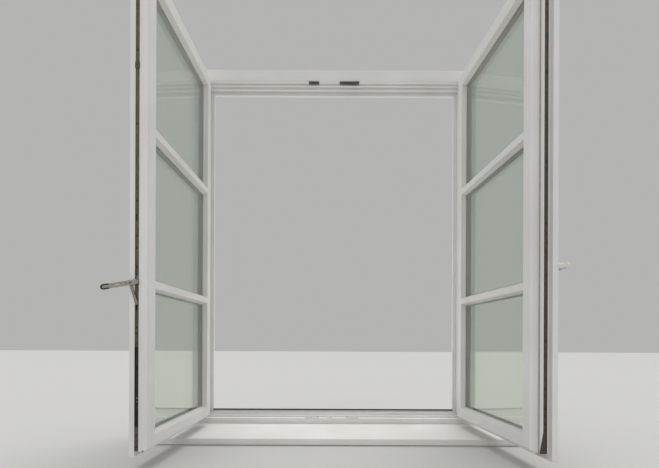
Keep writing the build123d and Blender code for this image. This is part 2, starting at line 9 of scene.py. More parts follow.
import bmesh
import bpy
import numpy as np
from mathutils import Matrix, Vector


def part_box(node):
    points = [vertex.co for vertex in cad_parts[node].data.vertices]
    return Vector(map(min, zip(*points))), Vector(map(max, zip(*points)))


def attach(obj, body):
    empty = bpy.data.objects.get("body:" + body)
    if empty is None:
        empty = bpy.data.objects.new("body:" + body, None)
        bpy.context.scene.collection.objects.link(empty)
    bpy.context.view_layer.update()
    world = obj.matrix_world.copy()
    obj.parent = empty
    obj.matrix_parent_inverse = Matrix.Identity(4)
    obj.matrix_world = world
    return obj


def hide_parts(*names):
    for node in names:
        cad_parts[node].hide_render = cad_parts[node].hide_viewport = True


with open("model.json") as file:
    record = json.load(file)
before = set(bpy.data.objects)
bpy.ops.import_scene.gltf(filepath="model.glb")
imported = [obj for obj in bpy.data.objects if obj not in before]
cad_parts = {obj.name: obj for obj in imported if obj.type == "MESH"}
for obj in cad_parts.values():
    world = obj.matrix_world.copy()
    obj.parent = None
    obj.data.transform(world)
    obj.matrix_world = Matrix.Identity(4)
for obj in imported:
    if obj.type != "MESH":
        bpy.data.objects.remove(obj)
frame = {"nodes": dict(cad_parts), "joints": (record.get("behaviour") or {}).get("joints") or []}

Material, NodeTree, Socket = bpy.types.Material, bpy.types.NodeTree, bpy.types.NodeSocket
Pair = tuple[float, float]
Triple = tuple[float, float, float]

log = logging.getLogger("casement")
MM = 0.001
CENTRE = 0.02  # innermost ring of a disc, as a share of its radius
NOISE_LOW, NOISE_HIGH = 0.3, 0.7  # noise seldom leaves this range


def linear(hex_colour: str) -> tuple[float, float, float, float]:
    """Turn an sRGB hex colour into the linear RGBA that shaders take.

    Args:
        hex_colour: colour such as "#E4E3DD".

    Returns:
        Linear red, green, blue and an alpha of 1.
    """
    raw = [int(hex_colour[i:i + 2], 16) / 255 for i in (1, 3, 5)]
    r, g, b = (c / 12.92 if c <= 0.04045 else ((c + 0.055) / 1.055) ** 2.4 for c in raw)
    return r, g, b, 1.0


def add_node(tree: NodeTree, kind: str, inputs: Optional[dict] = None,
             **settings: object) -> bpy.types.Node:
    """Add a shader node, set its properties and feed its inputs.

    Args:
        tree: node tree to add to.
        kind: Blender's type name of the node.
        inputs: input name or index to a value, or to an output socket to link.
        settings: properties of the node, by name.

    Returns:
        The new node.
    """
    node = tree.nodes.new(kind)
    for name, value in settings.items():
        setattr(node, name, value)
    for key, value in (inputs or {}).items():
        if isinstance(value, Socket):
            tree.links.new(value, node.inputs[key])
        else:
            node.inputs[key].default_value = value
    return node


def span(pattern: Socket, low: float, high: float) -> dict:
    """Give the inputs of a Map Range node that turns a noise into low..high.

    Args:
        pattern: the noise's socket.
        low: result where the noise is low.
        high: result where it is high.

    Returns:
        The inputs by name.
    """
    return {"Value": pattern, "From Min": NOISE_LOW, "From Max": NOISE_HIGH,
            "To Min": low, "To Max": high}


class Along(Enum):
    """Direction in which a member runs, and so its grain and brush marks."""

    X = (1, 0, 0)
    Y = (0, 1, 0)
    Z = (0, 0, 1)

    def stretch(self, along: float, across: float) -> Triple:
        """Size of a pattern on each axis: `along` this direction, and `across` it."""
        return tuple(along if c else across for c in self.value)


@dataclass(frozen=True)
class Finish:
    """Base of the finishes: one principled shader, with clouds in which the colour
    drifts to a shade, and a fine skin that lifts the surface."""

    name: str
    colour: str
    shade: str = ""
    roughness: float = 0.5
    metallic: float = 0.0
    swing: Pair = (0.0, 0.0)  # of the roughness, down and up
    cloud_mm: float = 40.0
    detail: float = 3.0  # octaves of the clouds
    skin_mm: float = 2.5
    lift: float = 0.1  # strength of the relief
    lift_mm: float = 0.1  # its height

    def build(self) -> Material:
        """Make the material.

        Returns:
            The new material, with its surface linked.
        """
        material = bpy.data.materials.new(self.name)
        material.use_nodes = True
        tree = material.node_tree
        tree.nodes.clear()
        relief, inputs = self.dress(tree)
        bump = add_node(tree, "ShaderNodeBump", {
            "Height": relief, "Strength": self.lift, "Distance": self.lift_mm * MM})
        shader = add_node(tree, "ShaderNodeBsdfPrincipled", {**inputs, "Normal": bump.outputs[0]})
        add_node(tree, "ShaderNodeOutputMaterial", {"Surface": shader.outputs[0]})
        return material

    def dress(self, tree: NodeTree) -> tuple[Socket, dict]:
        """Cloud the colour and lift the skin.

        Args:
            tree: the material's node tree.

        Returns:
            The relief's socket, and the shader's other inputs by name.
        """
        cloud = self.wander(tree, (self.cloud_mm,) * 3, self.detail)
        return self.wander(tree, (self.skin_mm,) * 3, 2.0), {
            "Base Color": self.clouded(tree, cloud), "Roughness": self.gloss(tree, cloud),
            "Metallic": self.metallic}

    @staticmethod
    def wander(tree: NodeTree, sizes: Sequence[float], detail: float = 3.0,
               rough: float = 0.5) -> Socket:
        """Noise on object coordinates.

        Args:
            tree: node tree to add to.
            sizes: size of the pattern along X, Y and Z, in mm.
            detail: octaves of the noise.
            rough: weight of the finer octaves.

        Returns:
            The noise's value socket, 0 to 1.
        """
        place = add_node(tree, "ShaderNodeTexCoord")
        mapped = add_node(tree, "ShaderNodeMapping", {
            "Vector": place.outputs["Object"],
            "Scale": tuple(1 / (size * MM) for size in sizes)})
        return add_node(tree, "ShaderNodeTexNoise", {
            "Vector": mapped.outputs[0], "Scale": 1.0, "Detail": detail,
            "Roughness": rough}).outputs["Fac"]

    def clouded(self, tree: NodeTree, pattern: Socket) -> Socket:
        """Drift from the colour to its shade as a noise rises.

        Args:
            tree: node tree to add to.
            pattern: the noise's socket.

        Returns:
            The mixed colour's socket.
        """
        share = add_node(tree, "ShaderNodeMapRange", span(pattern, 0.0, 1.0)).outputs[0]
        # sockets 6 and 7 in and 2 out are the mix's colours
        mixed = add_node(tree, "ShaderNodeMix", {
            0: share, 6: linear(self.colour), 7: linear(self.shade)}, data_type="RGBA")
        return mixed.outputs[2]

    def gloss(self, tree: NodeTree, pattern: Socket) -> Union[Socket, float]:
        """Let the roughness swing with a noise.

        Args:
            tree: node tree to add to.
            pattern: the noise's socket.

        Returns:
            The roughness's socket, or the plain number where nothing swings.
        """
        if not any(self.swing):
            return self.roughness
        low, high = (self.roughness + step for step in self.swing)
        return add_node(tree, "ShaderNodeMapRange", span(pattern, low, high)).outputs[0]


@dataclass(frozen=True)
class PaintedSoftwood(Finish):
    """White alkyd paint brushed on pine: satin, with faint brush marks along the member
    and a little grain telegraphing through."""

    name: str = "painted_softwood"
    colour: str = "#EAE9E8"
    shade: str = "#E1E0DE"
    roughness: float = 0.38
    swing: Pair = (-0.04, 0.06)
    cloud_mm: float = 166.7  # a hand's width
    detail: float = 4.0
    lift: float = 0.22
    lift_mm: float = 0.4
    along: Along = Along.Z
    brush_mm: float = 1.6  # real marks are finer and wouldn't show
    grain_mm: float = 4.0  # pitch of the growth rings under the paint
    run_mm: float = 180.0  # length of a brush mark

    def dress(self, tree: NodeTree) -> tuple[Socket, dict]:
        """Cloud the colour over a hand's width and lift brush marks and grain.

        Args:
            tree: the material's node tree.

        Returns:
            The relief's socket, and the shader's other inputs by name.
        """
        cloud = self.wander(tree, (self.cloud_mm,) * 3, self.detail)
        brush = self.wander(tree, self.along.stretch(self.run_mm, self.brush_mm))
        grain = self.wander(tree, self.along.stretch(self.run_mm / 2, self.grain_mm), 2.0)
        relief = add_node(tree, "ShaderNodeMath", {0: brush, 1: grain}, operation="ADD")
        return relief.outputs[0], {"Base Color": self.clouded(tree, cloud),
                                   "Roughness": self.gloss(tree, brush)}


@dataclass(frozen=True)
class ZincSteel(Finish):
    """Zinc-plated steel strip: grey metal with a soft cloud of passivation and rolling
    lines along the strip."""

    name: str = "zinc_steel"
    colour: str = "#8F8A80"
    shade: str = "#77726A"
    roughness: float = 0.42
    metallic: float = 0.85
    swing: Pair = (-0.06, 0.1)
    cloud_mm: float = 16.7
    detail: float = 4.0
    lift: float = 0.12
    along: Along = Along.Z
    line_mm: float = 0.5  # rolling lines; real ones are finer and wouldn't show
    run_mm: float = 125.0  # length of a rolling line

    def dress(self, tree: NodeTree) -> tuple[Socket, dict]:
        """Cloud the plating and draw the rolling lines into the gloss.

        Args:
            tree: the material's node tree.

        Returns:
            The relief's socket, and the shader's other inputs by name.
        """
        cloud = self.wander(tree, (self.cloud_mm,) * 3, self.detail, 0.6)
        lines = self.wander(tree, self.along.stretch(self.run_mm, self.line_mm), 2.0)
        return lines, {"Base Color": self.clouded(tree, cloud),
                       "Roughness": self.gloss(tree, lines), "Metallic": self.metallic}


@dataclass(frozen=True)
class SprayedBoard(Finish):
    """Lacquered window board: smooth sprayed white with a faint orange peel, and a gloss
    that wanders a little."""

    name: str = "sprayed_board"
    colour: str = "#EAE9E7"
    shade: str = "#DEDDD8"
    roughness: float = 0.33
    swing: Pair = (-0.04, 0.05)
    cloud_mm: float = 200.0
    lift: float = 0.05
    lift_mm: float = 0.2


@dataclass(frozen=True)
class EvenCoat(Finish):
    """Coat of one colour, such as stove enamel, powder, overpaint or soaked-in oil: even,
    with a low orange peel that softens the highlights."""

    name: str = "enamel"
    colour: str = "#E2E1DC"  # the shade has 6 % less light
    shade: str = "#DCDBD6"
    roughness: float = 0.3
    skin_mm: float = 2.22
    lift: float = 0.06
    lift_mm: float = 0.15


@dataclass(frozen=True)
class Elastomer(Finish):
    """Extruded sealing rubber: matt, with a fine skin and a dusty bloom as its shade."""

    name: str = "sealing_rubber"
    colour: str = "#2B2A29"
    shade: str = "#3A3937"
    roughness: float = 0.7
    cloud_mm: float = 11.1
    detail: float = 4.0
    skin_mm: float = 1.11  # the real grain is finer and wouldn't show


@dataclass(frozen=True)
class FloatGlass(Finish):
    """Float glass: clear with the green of its iron, smooth on both sides."""

    name: str = "float_glass"
    colour: str = "#EFF3EE"
    ior: float = 1.45
    skin_mm: float = 250.0  # waviness from rolling
    lift: float = 0.02
    lift_mm: float = 1.0

    def dress(self, tree: NodeTree) -> tuple[Socket, dict]:
        """Transmit with a slight tint and a very slight waviness.

        Args:
            tree: the material's node tree.

        Returns:
            The relief's socket, and the shader's other inputs by name.
        """
        return self.wander(tree, (self.skin_mm,) * 3, 1.0), {
            "Base Color": linear(self.colour), "Roughness": 0.0, "IOR": self.ior,
            "Transmission Weight": 1.0}


def make_finishes() -> dict[str, Material]:
    """Make every finish of the window.

    Returns:
        The materials by short name.
    """
    finishes = {
        "upright": PaintedSoftwood("painted_softwood_upright"),
        "across": PaintedSoftwood("painted_softwood_across", along=Along.X),
        "inward": PaintedSoftwood("painted_softwood_inward", along=Along.Y),
        "board": SprayedBoard(),
        "zinc": ZincSteel("dull_zinc_plate", "#6A645A", "#524C44"),
        "lever_zinc": ZincSteel(
            "bright_zinc_lever", "#B3ABA0", "#9A9287", 0.34, 0.7, along=Along.X),
        "bright_zinc": ZincSteel("bright_zinc_screw", "#A39D92", "#8A847A", 0.32),
        # blackened zinc of the screws, also put on the lower rod as painted shade of its groove
        "dark_zinc_and_rod_shade": ZincSteel("blackened_zinc_and_rod_shade", "#45403A", "#332F2A", 0.45),
        # painted shade: a dark coat for the deep hardware groove, standing in for the shade there
        "groove_shade_skin": EvenCoat("painted_groove_shade", "#40362C", "#3E342B", 0.6),
        "grey_zinc": EvenCoat("grey_zinc", "#56544F", "#53524D", 0.45, 0.5),
        "enamel": EvenCoat(),
        "aluminium": EvenCoat("powder_coated_aluminium", "#DEDEDA", "#D8D8D4", 0.4),
        "glass": FloatGlass(),
        "spacer": EvenCoat("coated_spacer_strip", "#CFCEC9", "#C9C8C4", 0.45),
        "sealant": Elastomer("polysulphide_sealant", "#242425", "#303031", 0.6),
        "putty": EvenCoat("overpainted_sealant", "#DAD7CE", "#D4D1C8", 0.42),
        "light_rubber": Elastomer("light_grey_rubber", "#B0ABA1", "#9F9A90"),
        "black_rubber": Elastomer("black_rubber"),
        "black_plastic": Elastomer("moulded_black_cap", "#1B1A19", "#252422", 0.45),
    }
    return {key: finish.build() for key, finish in finishes.items()}


def assign(nodes: Iterable[str], material: Material) -> None:
    """Put one material in every slot of the named CAD nodes.

    Args:
        nodes: names of the nodes.
        material: the material to show on them.
    """
    for name in nodes:
        for slot in frame["nodes"][name].material_slots:
            slot.material = material
        log.info("finished %s in %s", name, material.name)


def round_angles(count: int) -> np.ndarray:
    """Angles of `count` points spaced evenly round a circle, in radians."""
    return np.linspace(0, 2 * math.pi, count, endpoint=False)


class Mesh:
    """Points and faces gathered from several grids, made into one piece."""

    def __init__(self) -> None:
        """Start empty."""
        self.points: list[np.ndarray] = []
        self.faces: list[np.ndarray] = []
        self.count = 0

    def grid(self, points: np.ndarray, looped: bool = False) -> None:
        """Add a grid of points as quads. Each row closes on itself.

        Args:
            points: array of rows by columns by 3, in metres.
            looped: the last row runs on into the first; otherwise a face closes each.
        """
        rows, columns = points.shape[:2]
        index = np.arange(rows * columns).reshape(rows, columns) + self.count
        here, after = (index, np.roll(index, -1, 0)) if looped else (index[:-1], index[1:])
        quads = np.stack([here, after, np.roll(after, -1, 1), np.roll(here, -1, 1)], -1)
        self.faces += list(quads.reshape(-1, 4))
        if not looped:
            self.faces += [index[0], index[-1][::-1]]
        self.points.append(points.reshape(-1, 3))
        self.count += rows * columns

    def make(self, name: str, body: str, material: Material, slot: str) -> bpy.types.Object:
        """Make the piece, at the origin, with its faces pointing outwards.

        Args:
            name: name of the piece.
            body: CAD body that carries it.
            material: its finish.
            slot: the record's slot that the finish belongs to; not used.

        Returns:
            The new object.
        """
        mesh = bpy.data.meshes.new(name)
        mesh.from_pydata(np.concatenate(self.points).tolist(), [],
                         [face.tolist() for face in self.faces])
        work = bmesh.new()
        work.from_mesh(mesh)
        bmesh.ops.recalc_face_normals(work, faces=work.faces)
        work.to_mesh(mesh)
        work.free()
        mesh.materials.append(material)
        made = bpy.data.objects.new(name, mesh)
        bpy.context.scene.collection.objects.link(made)
        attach(made, body)
        log.info("made %s on %s", name, body)
        return made


class Side(Enum):
    """Which leaf: the name of its body and the mirror of its drawing."""

    LEFT = "left"
    RIGHT = "right"

    @property
    def mirror(self) -> float:
        """Factor on X from the drawing at the left to the window."""
        return 1.0 if self is Side.LEFT else -1.0


class Level(Enum):
    """Which of a leaf's three lights, from below."""

    BOTTOM = "bottom"
    MIDDLE = "middle"
    TOP = "top"


@dataclass(frozen=True)
class LeafDrawing:
    """Sizes of a leaf as drawn closed with its hinges at the left, in mm, and the way
    from that drawing to where the leaf stands open."""

    side: Side
    edge: float  # hardware edge at the meeting side
    tongue: float  # outermost edge there
    face_meet: float  # outer face of the meeting stile
    half: float = 532.5  # half of the clear width
    z_clear: float = 78.0  # lower edge of the clear opening
    z_head: float = 1474.0  # and its upper edge
    edge_set: float = 18.5  # hardware edge outside the clear edge
    outer_lap: float = 10.0
    face_stile: float = 38.0
    face_bottom: float = 36.0
    face_top: float = 47.0
    bevel: float = 6.0
    bevel_bottom: float = 8.0
    bar: float = 32.0
    glass_y: float = 32.0  # outer face of the glass
    unit: float = 24.0  # thickness of the glass unit
    pane: float = 4.0
    groove_y: float = 9.0  # middle of the hardware groove
    seal_y: float = 27.0
    axis_y: float = -9.0  # hinge line in front of the frame's inner face

    @property
    def glass_left(self) -> float:
        """Glass line at the hinge side."""
        return -self.half - self.outer_lap + self.face_stile + self.bevel

    @property
    def glass_right(self) -> float:
        """Glass line at the meeting side."""
        return self.tongue - self.face_meet - self.bevel

    @property
    def body(self) -> str:
        """Name of the body that carries the leaf."""
        return f"{self.side.value}_leaf"

    @property
    def hinge(self) -> dict:
        """The frame's entry of the leaf's hinge joint."""
        return next(j for j in frame["joints"] if j["name"] == f"{self.body}_hinge")

    @property
    def axis_x(self) -> float:
        """Hinge line in the drawing, in metres."""
        return -abs(self.hinge["pos_m"][0])

    def lights(self) -> list[Pair]:
        """Lower and upper glass line of the three lights.

        Returns:
            A pair for each light, from below.
        """
        low = self.z_clear - self.outer_lap + self.face_bottom + self.bevel_bottom
        high = self.z_head + self.outer_lap - self.face_top - self.bevel
        tall = (high - low - 2 * self.bar) / 3
        feet = [low + i * (tall + self.bar) for i in range(len(Level))]
        return [(foot, foot + tall) for foot in feet]

    def place(self, points: np.ndarray) -> np.ndarray:
        """Turn drawing points about the hinge line to the open leaf, in metres.

        The point's way from the hinge line is turned by the opening angle, clockwise
        from above, then added to the hinge line; the right leaf is mirrored.

        Args:
            points: array that ends in X, Y, Z in mm.

        Returns:
            The same points in the window's frame, in metres.
        """
        angle = math.radians(self.hinge["range_deg"][0])
        x = points[..., 0] * MM - self.axis_x
        y = (points[..., 1] - self.axis_y) * MM
        out = np.empty(points.shape)
        out[..., 0] = self.side.mirror * (
            self.axis_x + x * math.cos(angle) - y * math.sin(angle))
        out[..., 1] = self.hinge["pos_m"][1] + x * math.sin(angle) + y * math.cos(angle)
        out[..., 2] = points[..., 2] * MM
        return out

    def on_edge(self, mesh: Mesh, height: np.ndarray, across: np.ndarray,
                level: np.ndarray) -> None:
        """Add a closed form that stands on the meeting edge over its groove.

        Args:
            mesh: mesh to add it to.
            height: height over the timber edge.
            across: way from the groove's middle, towards the outside.
            level: height above the ground.
        """
        mesh.grid(self.place(np.stack(np.broadcast_arrays(
            self.edge + height, self.groove_y + across, level), -1)))


def rectangle_sweep(low: Pair, high: Pair, profile: Sequence[Pair]) -> np.ndarray:
    """Carry a profile round a rectangle with mitred corners.

    Every profile point (u, y) becomes a rectangle grown by u, at depth y.

    Args:
        low: the rectangle's lower left corner, X and Z.
        high: its upper right corner.
        profile: pairs of the outward offset and the depth.

    Returns:
        Array of 4 corners by profile points by 3, in the units given.
    """
    corners = np.array([low, (high[0], low[1]), high, (low[0], high[1])])
    way = np.array([(-1, -1), (1, -1), (1, 1), (-1, 1)])
    section = np.asarray(profile, float)
    flat = corners[:, None, :] + section[None, :, 0:1] * way[:, None, :]
    depth = np.broadcast_to(section[None, :, 1], flat.shape[:2])
    return np.stack([flat[..., 0], depth, flat[..., 1]], -1)


@dataclass
class GlazingUnit:
    """Sealed double-glazing unit: two panes with ground arrises, a grooved spacer and the
    dark sealant behind it, each a section carried round the unit's rectangle."""

    drawing: LeafDrawing
    level: Level
    light: Pair  # lower and upper glass line
    play: float = 2.5  # round the unit in its rebate
    pocket: float = 10.0  # depth of the rebate
    arris: float = 0.6
    gap: float = 0.05  # between panes, spacer and sealant
    spacer_back: float = 5.0  # inside the glass edge
    spacer_front: float = 11.5
    corner: Pair = (0.6, 1.0)  # spacer's bevel, in and along
    groove: Triple = (8.0, 0.4, 0.3)  # place, half width and depth
    sealant_edge: float = 0.8  # inside the glass edge
    sealant_dip: float = 1.6  # in the middle of its hollow

    @property
    def name(self) -> str:
        """First part of the names of the unit's pieces."""
        return f"{self.drawing.side.value}_{self.level.value}"

    def ring(self, profile: Sequence[Pair]) -> np.ndarray:
        """Carry a profile round the unit's edge and open it with the leaf.

        Args:
            profile: pairs of the way out of the unit's edge and the depth.

        Returns:
            Array of 4 corners by profile points by 3, in metres.
        """
        d, grow = self.drawing, self.pocket - self.play
        low, high = self.light
        return d.place(rectangle_sweep(
            (d.glass_left - grow, low - grow), (d.glass_right + grow, high + grow), profile))

    def build(self, glass: Material, metal: Material, sealant: Material) -> None:
        """Make the unit in place of its CAD node.

        Args:
            glass: finish of the panes.
            metal: finish of the spacer.
            sealant: finish of the sealant.
        """
        d, a = self.drawing, self.arris
        panes = Mesh()
        for y1 in (d.glass_y, d.glass_y - d.unit + d.pane):
            y0 = y1 - d.pane
            section = [(-a, y0), (0, y0 + a), (0, y1 - a), (-a, y1)]
            panes.grid(self.ring(section).transpose(1, 0, 2))
        unit = panes.make(f"{self.name}_panes", d.body, glass, "glass")
        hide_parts(f"{d.side.value}_glass_{self.level.value}")
        y0, y1 = d.glass_y - d.unit + d.pane + self.gap, d.glass_y - d.pane - self.gap
        front, back = -self.spacer_front, -self.spacer_back
        (bevel, deep), (at, half, cut) = self.corner, self.groove
        bar = Mesh()
        bar.grid(self.ring([
            (front, y0 + deep), (front + bevel, y0), (back, y0), (back, y1),
            (front + bevel, y1), (front, y1 - deep), (front, y1 - at + half),
            (front + cut, y1 - at), (front, y1 - at - half)]), looped=True)
        bar.make(f"{self.name}_spacer", d.body, metal, "white_aluminium")
        edge = -self.sealant_edge
        filling = Mesh()
        filling.grid(self.ring([
            (back + self.gap, y0), (edge, y0), (-self.sealant_dip, (y0 + y1) / 2), (edge, y1),
            (back + self.gap, y1)]), looped=True)
        filling.make(f"{self.name}_sealant", d.body, sealant, "seal_rubber")


@dataclass
class GlazingJoints:
    """Painted sealant fillets where the panes meet the timber, outside and inside."""

    drawing: LeafDrawing
    leg: float = 2.2
    root: float = 0.3  # of the fillet in the timber
    off: float = 0.02  # clear of the glass
    bead_show: float = 2.0  # inner bead inside the glass line
    hollow: tuple[Pair, ...] = ((1.0, 0.0), (0.45, 0.3), (0.1, 0.95))

    def fillet(self, face: float, way: float, inside: float) -> list[Pair]:
        """Hollow triangle between the glass and the timber.

        Args:
            face: face of the glass.
            way: 1 where it lies outside that face, -1 where it lies inside.
            inside: the timber's edge inside the glass line.

        Returns:
            Pairs of the outward offset and the depth.
        """
        return ([(self.root - inside, face)]
                + [(-self.leg * u - inside, face + way * self.leg * h) for u, h in self.hollow]
                + [(self.root - inside, face + way * self.leg)])

    def build(self, paint: Material) -> None:
        """Make the fillets of all three lights as one piece.

        Args:
            paint: finish of the overpainted sealant.
        """
        d, joints = self.drawing, Mesh()
        sections = (self.fillet(d.glass_y + self.off, 1, 0.0),
                    self.fillet(d.glass_y - d.unit - self.off, -1, self.bead_show))
        for low, high in d.lights():
            for section in sections:
                joints.grid(d.place(rectangle_sweep(
                    (d.glass_left, low), (d.glass_right, high), section)), looped=True)
        joints.make(f"{d.side.value}_glazing_joints", d.body, paint, "leaf_paint")


@dataclass
class Gasket:
    """Lipped weather seal in the leaf's edge groove, mitred at the corners. The section
    gives the way out of the timber edge and across it."""

    drawing: LeafDrawing
    section: tuple[Pair, ...] = (
        (-1.9, 0.5), (-1.9, 2.5), (-0.9, 2.1), (-0.1, 2.2), (0.05, 2.95), (0.9, 2.95),
        (1.9, 2.6), (2.7, 1.8), (2.95, 0.7), (2.75, 0.1), (2.35, 0.5), (2.0, 1.3),
        (1.3, 1.8), (0.7, 1.7), (0.5, 0.8), (0.05, 0.1), (-0.1, 0.8), (-0.9, 0.9))

    def build(self, rubber: Material) -> None:
        """Make the seal in place of its CAD node.

        Args:
            rubber: its finish.
        """
        d, seal = self.drawing, Mesh()
        profile = [(u, d.seal_y + y) for u, y in self.section]
        seal.grid(d.place(rectangle_sweep(
            (-d.half - d.edge_set, d.z_clear - d.edge_set),
            (d.edge, d.z_head + d.edge_set), profile)), looped=True)
        piece = seal.make(f"{d.side.value}_lipped_seal", d.body, rubber, "leaf_seal_rubber")
        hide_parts(f"{d.side.value}_seal")


@dataclass(frozen=True)
class CrossScrew:
    """Screw head with a cross recess, as a disc whose height is a function of radius
    and angle."""

    radius: float = 3.6
    rise: float = 0.35  # middle of the head over its rim
    recess: float = 1.3  # depth of the cross
    slot: float = 0.75  # half width of the cross
    reach: float = 2.1  # half length of the cross
    walls: Pair = (0.25, 0.4)  # run of the slot's sides and its ends
    point: float = 3.2  # radius at which the recess would run out
    skirt: float = 0.6  # depth of the rim's wall
    rings: int = 9
    spokes: int = 32

    def head(self) -> np.ndarray:
        """Shape the head on the plane h = 0.

        Height is a low dome, less the recess where the point lies in the cross: nearer
        to one axis than the slot's half width and inside its reach.

        Returns:
            Array of rings by spokes by (a, b, h), with the rim's wall as the last ring.
        """
        r = self.radius * np.linspace(CENTRE, 1.0, self.rings)[:, None]
        t = round_angles(self.spokes)[None, :]
        a, b = r * np.cos(t), r * np.sin(t)
        near = np.minimum(np.abs(a), np.abs(b))
        side, end = self.walls
        inside = np.clip((self.slot - near) / side, 0, 1) * np.clip((self.reach - r) / end, 0, 1)
        h = (self.rise * (1 - (r / self.radius) ** 2)
             - self.recess * inside * (1 - r / self.point))
        top = np.stack([a, b, np.broadcast_to(h, a.shape)], -1)
        rim = top[-1:].copy()
        rim[..., 2] = -self.skirt
        return np.concatenate([top, rim])


@dataclass
class EdgeScrews:
    """Countersunk cross-recess screws of the gear's cover plates."""

    drawing: LeafDrawing
    heights: tuple[float, ...]
    sunk: float = 0.5  # face that they sit in, behind the timber edge
    screw: CrossScrew = CrossScrew()
    word: str = "plate_screws"  # last part of the piece's name
    body: Optional[str] = None  # what carries them, where that isn't the leaf
    proud: float = 0.05  # of the rim over that face
    step: float = 0.6  # radians from one screw's cross to the next one's

    def build(self, metal: Material) -> None:
        """Set every screw on its face at its height.

        Args:
            metal: finish of the screws.
        """
        d, mesh = self.drawing, Mesh()
        a, b, h = np.moveaxis(self.screw.head(), -1, 0)
        for i, z in enumerate(self.heights):
            cos, sin = math.cos(self.step * i), math.sin(self.step * i)
            d.on_edge(mesh, self.proud - self.sunk + h, a * cos - b * sin, z + a * sin + b * cos)
        mesh.make(f"{d.side.value}_{self.word}", self.body or d.body, metal,
                  "galvanised_steel")


@dataclass
class GrooveShade:
    """Painted shade of the hardware groove where no cover plate hides it: a thin dark skin on
    both walls and the floor, standing in for the shade that falls in the deep groove."""

    drawing: LeafDrawing
    foot: float = 130.5
    top: float = 362.5
    width: float = 12.0
    depth: float = 8.0
    skin: float = 0.15
    off: float = 0.02  # clear of the groove's own faces
    rim: float = 0.4  # below the timber edge

    def build(self, timber: Material) -> None:
        """Carry the trough's section up the groove.

        Args:
            timber: its finish, a dark paint that stands in for the groove's shade.
        """
        outer, inner = self.width / 2 - self.off, self.width / 2 - self.skin
        rim, under, floor = -self.rim, self.off - self.depth, self.skin - self.depth
        section = np.array([
            (rim, -outer), (under, -outer), (under, outer), (rim, outer),
            (rim, inner), (floor, inner), (floor, -inner), (rim, -inner)])
        mesh = Mesh()
        levels = np.array([self.foot, self.top])[:, None]
        self.drawing.on_edge(mesh, section[:, 0], section[:, 1], levels)
        mesh.make("left_groove_painted_shade", self.drawing.body, timber, "leaf_paint")


@dataclass
class PlateCleats:
    """Pressed cleats over the joints of the cover plates: low pads with soft corners."""

    drawing: LeafDrawing
    heights: tuple[float, ...]
    half_width: float = 7.4
    half_height: float = 11.0
    rise: float = 1.0
    fall: float = 0.6  # share of the rise that the rim lies lower
    square: float = 5.0  # 2 would be an ellipse, more is squarer
    foot: float = 0.04  # rim's foot over the timber edge
    seat: float = 0.15  # screw's seat over the pad
    rings: tuple[float, ...] = (CENTRE, 0.3, 0.6, 0.8, 0.9, 0.96, 1.0, 1.0)
    spokes: int = 40

    def build(self, metal: Material, dark: Material) -> None:
        """Make the pads and their screws.

        The outline is a superellipse, scaled by the radius, and the height falls with
        the sixth power of the radius.

        Args:
            metal: finish of the pads.
            dark: finish of the screws.
        """
        d, t = self.drawing, round_angles(self.spokes)
        across, up = [
            size * np.sign(wave) * np.abs(wave) ** (2 / self.square)
            for size, wave in ((self.half_width, np.cos(t)), (self.half_height, np.sin(t)))]
        r = np.array(self.rings)[:, None]
        h = self.rise * (1 - self.fall * r ** 6)
        h[-1] = self.foot
        mesh = Mesh()
        for z in self.heights:
            d.on_edge(mesh, h, r * across, z + r * up)
        mesh.make(f"{d.side.value}_plate_cleats", d.body, metal, "galvanised_steel")
        EdgeScrews(d, self.heights, self.seat - self.rise, word="cleat_screws").build(dark)


